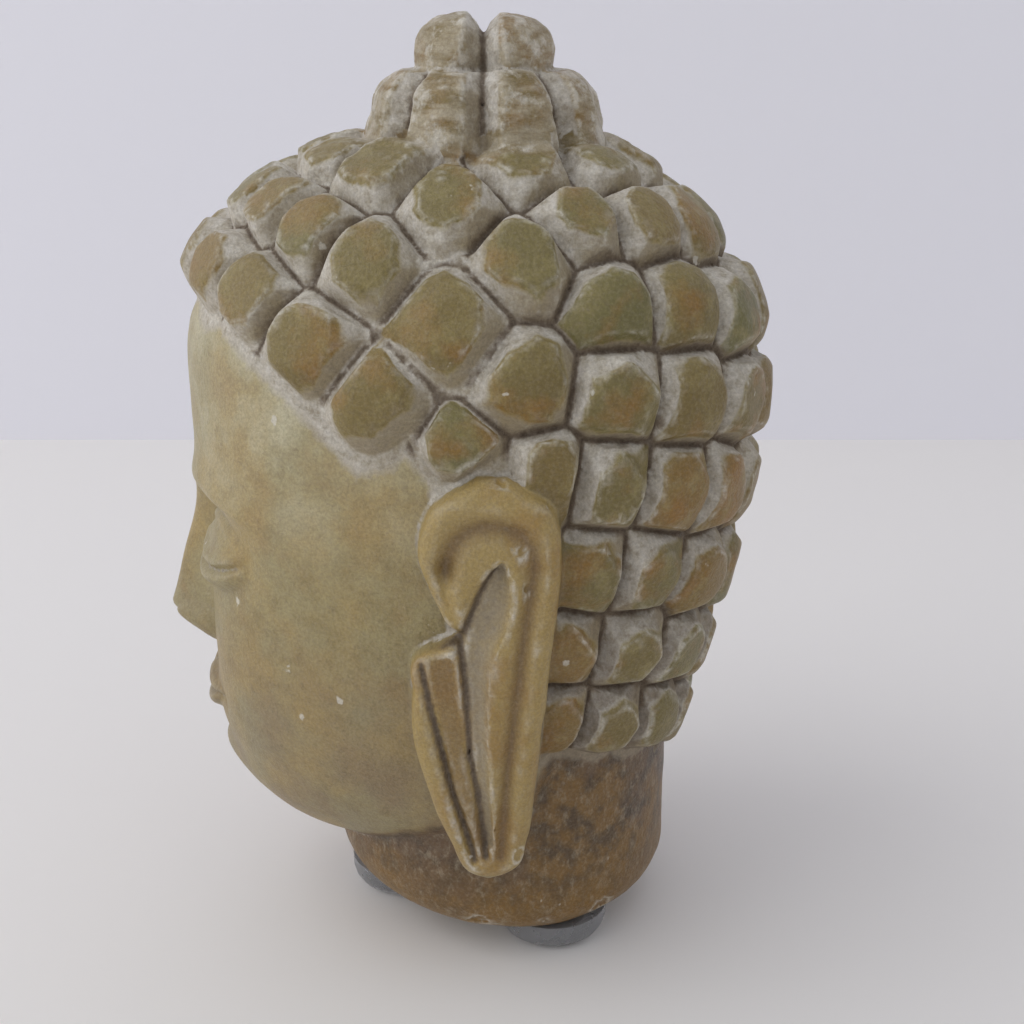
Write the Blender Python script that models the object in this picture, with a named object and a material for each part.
# Carved stone head with a topknot, rows of cut curls, long ears and a short round neck,
# standing on three small clear bumper feet.
# Metres, +Z up, the face looks along -Y, the head's own left ear is on +X.
import math

import bmesh
import bpy
import numpy as np

for old in list(bpy.data.objects):
    bpy.data.objects.remove(old, do_unlink=True)

# driving sizes of the stone
stone_height = 0.100
head_width = 0.0566
neck_radius = 0.0199
neck_back_edge = 0.0040
neck_front_edge = 0.0075
curl_relief = 0.0027
curl_dome_radius = 0.0150
curl_columns = 5
groove_wall_slope = 2.2
corner_cut_slope = 0.57
ear_stand = 0.0017
ear_relief = 0.0013
nose_reach = 0.0068
knob_radius = 0.0078
knob_notch = 0.0030
tier_radius = 0.0131
tier_groove = 0.0022
tier_bosses = 8
# driving sizes of the bumper feet
foot_diameter = 0.0130
foot_height = 0.0036
foot_circle_radius = 0.0122
fit_gap = 0.0003

# units of the tables below: heights and depths in hundredths of the stone's height,
# widths in the same steps of the head's width over the hair
k = stone_height / 100.0
w = head_width / 56.6
ear_reach = head_width / 2 + ear_stand
stone_base = foot_height + fit_gap
voxel = 0.5 * k
stone_triangles = 9300

# outer surface of the hair: height, front, back, half width
hair_table = np.array([k, k, k, w]) * np.array([
    (11, -14.0, 16.5, 15.5), (20, -19.5, 21.4, 21.0), (30, -25.6, 24.3, 23.8), (40, -29.7, 26.9, 25.9),
    (50, -32.8, 28.8, 27.6), (60, -34.9, 29.9, 28.3), (70, -35.1, 28.9, 27.3), (76, -33.5, 25.8, 25.0),
    (81, -29.2, 21.4, 21.6), (85, -23.3, 16.0, 17.0), (88, -15.0, 9.5, 10.5), (90, -3.0, 0.0, 1.0)])
# plain oval of the face: height, front, half width
face_table = np.array([k, k, w]) * np.array([
    (6, -15.0, 8.0), (8, -22.0, 12.0), (10.5, -26.6, 16.0), (14, -30.0, 19.6), (20, -31.8, 22.8),
    (30, -32.5, 25.2), (40, -33.1, 26.2), (50, -33.8, 26.7), (60, -34.2, 26.8), (70, -33.2, 25.8),
    (78, -27.5, 22.0)])
# ear outline: height, front edge, back edge
ear_table = k * np.array([
    (11.6, -1.7, -0.7), (13.6, -3.6, 1.9), (17, -5.1, 3.0), (24, -7.4, 3.8), (30, -8.7, 4.3), (35, -8.6, 4.8),
    (39.6, -7.4, 5.2), (41.2, -4.3, 5.4), (43.6, -5.3, 5.7), (46.6, -6.7, 6.0), (50, -7.8, 6.2),
    (53.2, -7.2, 5.9), (55.8, -5.4, 4.4), (57.6, -2.2, 1.2)])
# grooves of the ear: a run of places (y, height), half width and depth against the ear's relief
ear_grooves = (
    (((-4.9, 49.8), (-3.9, 52.0), (-1.2, 53.4), (2.3, 52.6), (3.6, 49.4), (2.6, 42.1), (0.8, 25)), 0.9, 0.9),
    (((-5.0, 49.4), (-4.9, 46.5), (-3.8, 41.8)), 0.8, 0.8),
    (((0.4, 49.6), (-0.1, 47.0), (-1.1, 43.8), (-2.1, 40.0), (-2.1, 32.0), (-1.2, 19.0)), 1.5, 1.3),
    (((-7.6, 38.6), (-6.0, 29.7), (-2.6, 15.2)), 0.9, 1.1),
    (((-3.8, 41.0), (-3.0, 30.0), (-1.4, 15.6)), 0.8, 1.1))
hair_centre = k * np.array([0.0, -2.4, 53.4])
knot_y = -1.6 * k


def smooth_curve(at, table, column):
    # cubic through the table's rows, level slopes at its ends
    x = table[:, 0]
    y = table[:, column]
    slope = np.gradient(y, x)
    at = np.clip(at, x[0], x[-1])
    i = np.clip(np.searchsorted(x, at) - 1, 0, len(x) - 2)
    h = x[i + 1] - x[i]
    t = (at - x[i]) / h
    a = y[i] * (1 + 2 * t) * (1 - t) ** 2 + y[i + 1] * t * t * (3 - 2 * t)
    return a + h * (slope[i] * t * (1 - t) ** 2 - slope[i + 1] * t * t * (1 - t))


def bump(x, z, centre_x, centre_z, radius_x, radius_z):
    # round swelling that reaches one at its centre
    return np.exp(-(((x - centre_x) / radius_x) ** 2 + ((z - centre_z) / radius_z) ** 2))


def ramp(value, low, high):
    t = np.clip((value - low) / (high - low), 0.0, 1.0)
    return t * t * (3 - 2 * t)


def line_distance(y, z, points):
    # distance from each place to a run of straight lines
    best = np.full(np.shape(y), 1.0)
    for (ya, za), (yb, zb) in zip(points[:-1], points[1:]):
        length = (yb - ya) ** 2 + (zb - za) ** 2
        t = np.clip(((y - ya) * (yb - ya) + (z - za) * (zb - za)) / length, 0.0, 1.0)
        best = np.minimum(best, np.hypot(y - ya - t * (yb - ya), z - za - t * (zb - za)))
    return best


def rings_to_mesh(name, rings):
    # rings: rows of points, each row running once round the form; both ends are closed
    rows, columns, _ = rings.shape
    points = [tuple(p) for p in rings.reshape(-1, 3)]
    points.append(tuple(rings[0].mean(axis=0)))
    points.append(tuple(rings[-1].mean(axis=0)))
    faces = []
    for r in range(rows - 1):
        for c in range(columns):
            d = (c + 1) % columns
            faces.append((r * columns + c, r * columns + d, (r + 1) * columns + d, (r + 1) * columns + c))
    top = (rows - 1) * columns
    for c in range(columns):
        d = (c + 1) % columns
        faces.append((rows * columns, d, c))
        faces.append((rows * columns + 1, top + c, top + d))
    mesh = bpy.data.meshes.new(name)
    mesh.from_pydata(points, [], faces)
    mesh.update()
    return mesh


def hair_side(points):
    # below zero inside the hair's outer surface
    front = smooth_curve(points[..., 2], hair_table, 1)
    back = smooth_curve(points[..., 2], hair_table, 2)
    half = smooth_curve(points[..., 2], hair_table, 3)
    across = np.abs(points[..., 0] / half)
    along = np.abs((points[..., 1] - (front + back) / 2) / ((back - front) / 2))
    value = across ** 2.2 + along ** 2.2 - 1.0
    value = np.where(points[..., 2] > hair_table[-1, 0], 1.0, value)
    return value


def on_hair(origins, directions):
    # where each ray from inside meets the hair's outer surface
    near = np.zeros(directions.shape[:-1])
    far = np.full(directions.shape[:-1], 60 * k)
    for _ in range(26):
        middle = (near + far) / 2
        inside = hair_side(origins + directions * middle[..., None]) < 0
        near = np.where(inside, middle, near)
        far = np.where(inside, far, middle)
    return origins + directions * near[..., None]


def heading(azimuth, elevation):
    # azimuth turns from the face towards the left ear and on to the back
    a = np.radians(azimuth)
    e = np.radians(elevation)
    return np.stack([np.sin(a) * np.cos(e), -np.cos(a) * np.cos(e), np.sin(e)], axis=-1)


def curl_places():
    # places of the curls on the left half as (azimuth, elevation, height or None), then the bare places
    curls = []
    bare = []
    # staggered rows from the middle of the forehead to the ear: azimuths, elevations
    hairline = ((8.5, 38), (25.5, 37.5), (41, 35.5), (56.5, 31), (71, 22), (87, 12.5), (104, 7.5))
    second = ((0, 51), (16.5, 51), (32, 50.5), (47.5, 48.5), (64.5, 45.5), (85.5, 36.5), (101, 27))
    third = ((0, 63), (26, 63), (52.5, 62), (82.5, 57.5), (102, 47.5))
    crown = ((121, 52.5), (140.5, 50.5), (160, 48.5), (180, 48), (114, 66), (146, 63.5), (180, 62))
    for azimuth, elevation in hairline + second + third + crown:
        curls.append((azimuth, elevation, None))
    # square rows down the back, each dropping towards the middle
    back_rows = ((75.0, 4.2), (66.0, 5.6), (56.2, 5.6), (46.6, 6.2), (37.8, 6.8), (28.8, 6.6))
    for row, (height, drop) in enumerate(back_rows):
        first = 123.5 - 2.8 * row
        # the two upper rows straddle the middle of the back, the others have a curl on it
        start = 0.5 if row < 2 else 0.0
        pitch = (180 - first) / (curl_columns - 1 - start)
        for column in range(curl_columns - int(row < 2)):
            azimuth = 180 - pitch * (column + start)
            z = height - drop * ramp(azimuth, 110, 176)
            curls.append((azimuth, 0.0, z * k))
        # bare places under the ear
        if row > 1:
            bare.append((209 - first, 0.0, height * k))
            bare.append((196 - first, 0.0, height * k))
    # bare places below the hairline and under the nape
    below_hairline = ((0, 24.5), (17, 24.5), (33, 22.5), (45, 16), (56, 6), (71, -5), (88, -6))
    for azimuth, elevation in below_hairline:
        bare.append((azimuth, elevation, None))
    for azimuth in range(100, 181, 10):
        z = 19.8 - 6.6 * ramp(azimuth, 110, 176)
        bare.append((azimuth, 0.0, z * k))
    return curls, bare


def curl_seeds():
    curls, bare = curl_places()
    seeds = []
    kinds = []
    for kind, places in ((1, curls), (0, bare)):
        for azimuth, elevation, z in places:
            for side in (1, -1):
                if side < 0 and (azimuth < 1 or azimuth > 179):
                    continue
                turn = side * azimuth
                origin = hair_centre.copy()
                if z is not None:
                    origin[2] = z
                seeds.append(on_hair(origin[None], heading(turn, elevation)[None])[0])
                kinds.append(kind)
    return np.array(seeds), np.array(kinds)


def curl_height(points, seeds, kinds, relief):
    # height of the cut curls above the bottoms of their grooves
    flat = points.reshape(-1, 3)
    apart = np.sqrt(((flat[:, None, :] - seeds[None]) ** 2).sum(axis=2))
    nearest = apart.argmin(axis=1)
    d0 = apart[np.arange(len(flat)), nearest]
    gaps = np.sqrt(((seeds[:, None] - seeds[None]) ** 2).sum(axis=2))
    between = gaps[nearest]
    between = np.where(between == 0, 1.0, between)
    to_edge = (apart ** 2 - d0[:, None] ** 2) / (2 * between)
    to_edge[np.arange(len(flat)), nearest] = 1.0
    to_edge.partition(1, axis=1)
    wall = groove_wall_slope * to_edge[:, 0]
    corner = corner_cut_slope * (to_edge[:, 0] + to_edge[:, 1]) + 0.1 * relief
    dome = relief - d0 ** 2 / (2 * curl_dome_radius) + 0.25 * relief
    height = np.minimum(np.minimum(wall, corner), np.minimum(dome, relief + 0.12 * relief))
    height = np.where(kinds[nearest] == 1, height, -0.8 * relief)
    return height.reshape(points.shape[:-1])


def hair_form(columns, low_rows, high_rows):
    angles = np.linspace(0, 360, columns, endpoint=False)
    lows = np.linspace(hair_table[0, 0], hair_centre[2], low_rows, endpoint=False)
    highs = np.linspace(0, 88, high_rows)
    origins = []
    directions = []
    for z in lows:
        origins.append(np.broadcast_to([hair_centre[0], hair_centre[1], z], (columns, 3)))
        directions.append(heading(angles, np.zeros(columns)))
    for elevation in highs:
        origins.append(np.broadcast_to(hair_centre, (columns, 3)))
        directions.append(heading(angles, np.full(columns, elevation)))
    origins = np.array(origins)
    directions = np.array(directions)
    surface = on_hair(origins, directions)
    seeds, kinds = curl_seeds()
    height = curl_height(surface, seeds, kinds, curl_relief)
    surface = surface - directions * (curl_relief - height)[..., None]
    return rings_to_mesh("hair form", surface)


def face_features(x, z):
    # forward reach of the features over the plain oval, calm and symmetrical
    x = np.abs(x) / w
    z = z / k
    out = np.zeros(np.shape(x))
    # brow arch, eye hollow, lidded eye and the line under the lid
    arch = 48.4 + 3.6 * np.sin(np.clip((x - 1.0) / 20.0, 0, 1) * math.pi) ** 0.7
    out += 1.3 * np.exp(-((z - arch) / 1.6) ** 2) * ramp(x, 0.5, 3.0) * (1 - ramp(x, 16, 22))
    out -= 3.3 * bump(x, z, 9.6, 45.4, 7.2, 4.0)
    out += 3.0 * bump(x, z, 10.4, 44.2, 5.4, 2.7)
    lid = 42.9 + 0.055 * (x - 10.4) ** 2
    out -= 1.0 * np.exp(-((z - lid) / 0.6) ** 2) * (1 - ramp(np.abs(x - 10.4), 4.6, 6.4))
    # nose: a ridge that widens and rises to its tip, with rounded wings
    down = np.clip((50.0 - z) / 17.5, 0, 1)
    width = 1.9 + 1.7 * down ** 1.5
    reach = 0.24 + 0.76 * down ** 1.2
    ridge = np.exp(-(x / (1.25 * width)) ** 2.6)
    out += nose_reach / k * reach * ridge * ramp(z, 29.8, 34.4) * (1 - ramp(z, 50.0, 56))
    out += 1.7 * bump(x, z, 4.1, 32.6, 1.8, 1.9)
    # mouth: two full lips about a quiet closed line
    out += 1.3 * bump(x, z, 0, 24.3, 11.0, 6.5)
    seam = 24.2 + 0.014 * x ** 2
    inside = np.clip(1 - (x / 7.6) ** 2, 0, 1) ** 0.5
    out += 1.9 * inside * np.exp(-((z - seam - 1.5 + 0.4 * np.exp(-(x / 1.3) ** 2)) / 1.2) ** 2)
    out += 2.1 * inside * np.exp(-((z - seam + 1.7) / 1.4) ** 2) * (1 - ramp(x, 4.5, 7.5))
    out -= 1.2 * np.exp(-((z - seam) / 0.55) ** 2) * (1 - ramp(x, 6.6, 8.2))
    out -= 0.7 * bump(x, z, 0, 28.6, 1.1, 1.6)
    out -= 1.0 * bump(x, z, 0, 19.6, 5.2, 1.5)
    # chin and cheeks
    out += 2.1 * bump(x, z, 0, 15.8, 6.0, 3.6)
    out += 1.0 * bump(x, z, 13.8, 32.0, 7.5, 8.5)
    return out * k


def face_form(columns, rows):
    angles = np.radians(np.linspace(0, 360, columns, endpoint=False))
    heights = np.linspace(face_table[0, 0], face_table[-1, 0], rows)
    a, z = np.meshgrid(angles, heights)
    front = smooth_curve(z, face_table, 1)
    half = smooth_curve(z, face_table, 2)
    middle = -2.0 * k
    power = 2.25
    c = np.cos(a)
    s = np.sin(a)
    x = half * np.sign(s) * np.abs(s) ** (2 / power)
    depth = np.where(c > 0, middle - front, 12.0 * k)
    y = middle - depth * np.sign(c) * np.abs(c) ** (2 / power)
    forward = ramp(c, 0.05, 0.5)
    y = y - face_features(x, z) * forward
    return rings_to_mesh("face form", np.stack([x, y, z], axis=-1))


def neck_form(columns):
    # round column; its lower edge is rounded, wider in front, and starts a little low to be cut off flat
    angles = np.radians(np.linspace(0, 360, columns, endpoint=False))
    edge = neck_back_edge + (neck_front_edge - neck_back_edge) * ramp(np.cos(angles), -0.3, 0.8)
    profile = [(1.04, -0.3)]
    for s in np.radians(np.linspace(0, 90, 7)):
        profile.append((1 - math.sin(s), 1 - math.cos(s)))
    rings = []
    for inward, up in profile:
        radius = neck_radius - 0.85 * edge * inward
        rings.append(np.stack([radius * np.sin(angles), -radius * np.cos(angles), edge * up], axis=-1))
    for z in (14 * k, 26 * k):
        height = np.full(columns, z)
        rings.append(np.stack([neck_radius * np.sin(angles), -neck_radius * np.cos(angles), height], axis=-1))
    return rings_to_mesh("neck form", np.array(rings))


def ear_height(y, z):
    # relief of the ear's outer face: rim, hollow, inner leaf and the long grooves of the lobe
    y = y / k
    z = z / k
    out = np.zeros(np.shape(y))
    for path, wide, deep in ear_grooves:
        out -= deep * np.clip(1 - line_distance(y, z, path) / wide, 0, 1)
    return out * ear_relief


def ear_form(side, across, rows):
    # closed by short rows at the tip and at the top
    low = ear_table[0, 0]
    high = ear_table[-1, 0]
    share = (1 - np.cos(np.linspace(0, math.pi, rows))) / 2
    heights = low + (high - low) * (0.65 * np.linspace(0, 1, rows) + 0.35 * share)
    rings = []
    for z in heights:
        front = smooth_curve(np.array(z), ear_table, 1)
        back = smooth_curve(np.array(z), ear_table, 2)
        s = np.linspace(-1, 1, across)
        y = (front + back) / 2 + s * (back - front) / 2
        edge = np.minimum(y - front, back - y)
        round_edge = 1.3 * k * (1 - np.clip(edge / (1.5 * k), 0, 1)) ** 2
        end = np.minimum(z - low, high - z)
        round_end = 1.6 * k * (1 - np.clip(end / (2.5 * k), 0, 1)) ** 2
        lean = 0.0019 / k * max(0.0, 52 * k - z) ** 2
        x = ear_reach - lean - round_edge - round_end + ear_height(y, np.full(across, z))
        inner = [(12 * w, back + 0.8 * k, z), (12 * w, front - 0.8 * k, z)]
        ring = [(px, py, z) for px, py in zip(x, y)] + inner
        rings.append(ring)
    rings = np.array(rings, dtype=float)
    rings[..., 0] *= side
    return rings_to_mesh("ear form", rings)


def tier_form(columns, rows):
    # ring of bosses under the knob
    angles = np.linspace(0, 2 * math.pi, columns, endpoint=False)
    levels = np.linspace(0, 1, rows)
    rings = []
    for t in levels:
        z = (84.0 + 10.2 * t) * k
        taper = 1.04 - 0.16 * t - 0.16 * np.clip((t - 0.72) / 0.28, 0, 1) ** 2
        radius = tier_radius * taper
        pitch = 2 * math.pi / tier_bosses
        turn = np.abs((angles / pitch + 0.5) % 1.0 - 0.5) * pitch
        to_groove = radius * np.sin(turn)
        cut = np.clip(tier_groove - 1.25 * to_groove, 0, None)
        r = radius - cut
        rings.append(np.stack([r * np.sin(angles), knot_y - r * np.cos(angles), np.full(columns, z)], axis=-1))
    return rings_to_mesh("tier form", np.array(rings))


def knob_form(columns, rows):
    # round knob cut by two crossed notches into bosses
    angles = np.linspace(0, 2 * math.pi, columns, endpoint=False)
    centre = np.array([0.0, knot_y, 94.2 * k])
    high = stone_height - centre[2]
    rings = []
    for elevation in np.radians(np.linspace(-30, 89, rows)):
        e = 3.1
        c = math.cos(elevation)
        s = math.sin(elevation)
        size = (abs(c / knob_radius) ** e + abs(s / high) ** e) ** (-1 / e)
        x = size * c * np.sin(angles)
        y = -size * c * np.cos(angles)
        z = np.full(columns, size * s)
        cut = np.clip(knob_notch - 1.6 * np.minimum(np.abs(x), np.abs(y)), 0, None)
        length = np.sqrt(x * x + y * y + z * z)
        keep = np.clip(1 - cut / length, 0.3, 1)
        ring = centre + np.stack([x, y, z], axis=-1) * keep[:, None]
        rings.append(ring)
    return rings_to_mesh("knob form", np.array(rings))


def add_object(name, mesh, colour, roughness, alpha=1.0):
    material = bpy.data.materials.new(name)
    material.use_nodes = True
    surface = material.node_tree.nodes["Principled BSDF"]
    surface.inputs["Base Color"].default_value = (*colour, 1.0)
    surface.inputs["Roughness"].default_value = roughness
    surface.inputs["Alpha"].default_value = alpha
    mesh.materials.clear()
    mesh.materials.append(material)
    item = bpy.data.objects.new(name, mesh)
    bpy.context.scene.collection.objects.link(item)
    return item


def applied_mesh(item, name):
    bpy.context.view_layer.update()
    graph = bpy.context.evaluated_depsgraph_get()
    mesh = bpy.data.meshes.new_from_object(item.evaluated_get(graph))
    mesh.name = name
    return mesh


def build_stone():
    together = bmesh.new()
    forms = [hair_form(300, 84, 84), face_form(220, 150), neck_form(96), tier_form(192, 22), knob_form(128, 60)]
    forms.append(ear_form(1, 40, 110))
    forms.append(ear_form(-1, 40, 110))
    for form in forms:
        part = bmesh.new()
        part.from_mesh(form)
        bmesh.ops.recalc_face_normals(part, faces=part.faces)
        part.to_mesh(form)
        part.free()
        together.from_mesh(form)
    mesh = bpy.data.meshes.new("stone forms")
    together.to_mesh(mesh)
    together.free()
    rough = bpy.data.objects.new("stone forms", mesh)
    bpy.context.scene.collection.objects.link(rough)
    fuse = rough.modifiers.new("fuse", "REMESH")
    fuse.mode = "VOXEL"
    fuse.voxel_size = voxel
    fuse.adaptivity = 0.0
    fused = applied_mesh(rough, "stone fused")
    rough.data = fused
    rough.modifiers.clear()
    fused.calc_loop_triangles()
    triangles = len(fused.loop_triangles)
    thin = rough.modifiers.new("thin", "DECIMATE")
    thin.ratio = min(1.0, stone_triangles / triangles)
    thinned = applied_mesh(rough, "stone thinned")
    bpy.data.objects.remove(rough, do_unlink=True)
    # the underside is cut flat
    work = bmesh.new()
    work.from_mesh(thinned)
    geometry = work.verts[:] + work.edges[:] + work.faces[:]
    cut = bmesh.ops.bisect_plane(work, geom=geometry, dist=1e-6, plane_co=(0, 0, 0), plane_no=(0, 0, -1),
                                 clear_outer=True)
    rim = [e for e in cut["geom_cut"] if isinstance(e, bmesh.types.BMEdge)]
    bmesh.ops.contextual_create(work, geom=rim)
    bmesh.ops.triangulate(work, faces=work.faces[:])
    bmesh.ops.recalc_face_normals(work, faces=work.faces[:])
    for v in work.verts:
        v.co.z += stone_base
    mesh = bpy.data.meshes.new("stone head")
    work.to_mesh(mesh)
    work.free()
    return add_object("stone_head", mesh, (0.40, 0.36, 0.22), 0.45)


def build_foot(number, azimuth):
    radius = foot_diameter / 2
    columns = 26
    dome = [(1.0, foot_height), (1.0, 0.60 * foot_height), (0.95, 0.24 * foot_height), (0.80, 0.0)]
    rings = []
    for share, z in reversed(dome):
        angles = np.radians(np.linspace(0, 360, columns, endpoint=False))
        r = radius * share
        rings.append(np.stack([r * np.cos(angles), r * np.sin(angles), np.full(columns, z)], axis=-1))
    turn = math.radians(azimuth)
    place = np.array([foot_circle_radius * math.sin(turn), -foot_circle_radius * math.cos(turn), 0.0])
    mesh = rings_to_mesh("foot", np.array(rings) + place)
    work = bmesh.new()
    work.from_mesh(mesh)
    bmesh.ops.recalc_face_normals(work, faces=work.faces[:])
    work.to_mesh(mesh)
    work.free()
    return add_object("foot_" + number, mesh, (0.62, 0.62, 0.62), 0.2, 0.45)


pieces = [build_stone()]
for number, azimuth in (("front", 0.0), ("back_left", 120.0), ("back_right", -120.0)):
    pieces.append(build_foot(number, azimuth))

# the middle of the object's box, seen from above, goes on the origin
low = np.array([np.array([v.co for v in p.data.vertices]).min(axis=0) for p in pieces]).min(axis=0)
high = np.array([np.array([v.co for v in p.data.vertices]).max(axis=0) for p in pieces]).max(axis=0)
shift = -(low + high) / 2
for p in pieces:
    for v in p.data.vertices:
        v.co.x += shift[0]
        v.co.y += shift[1]
        v.co.z -= low[2]
    p.data.update()
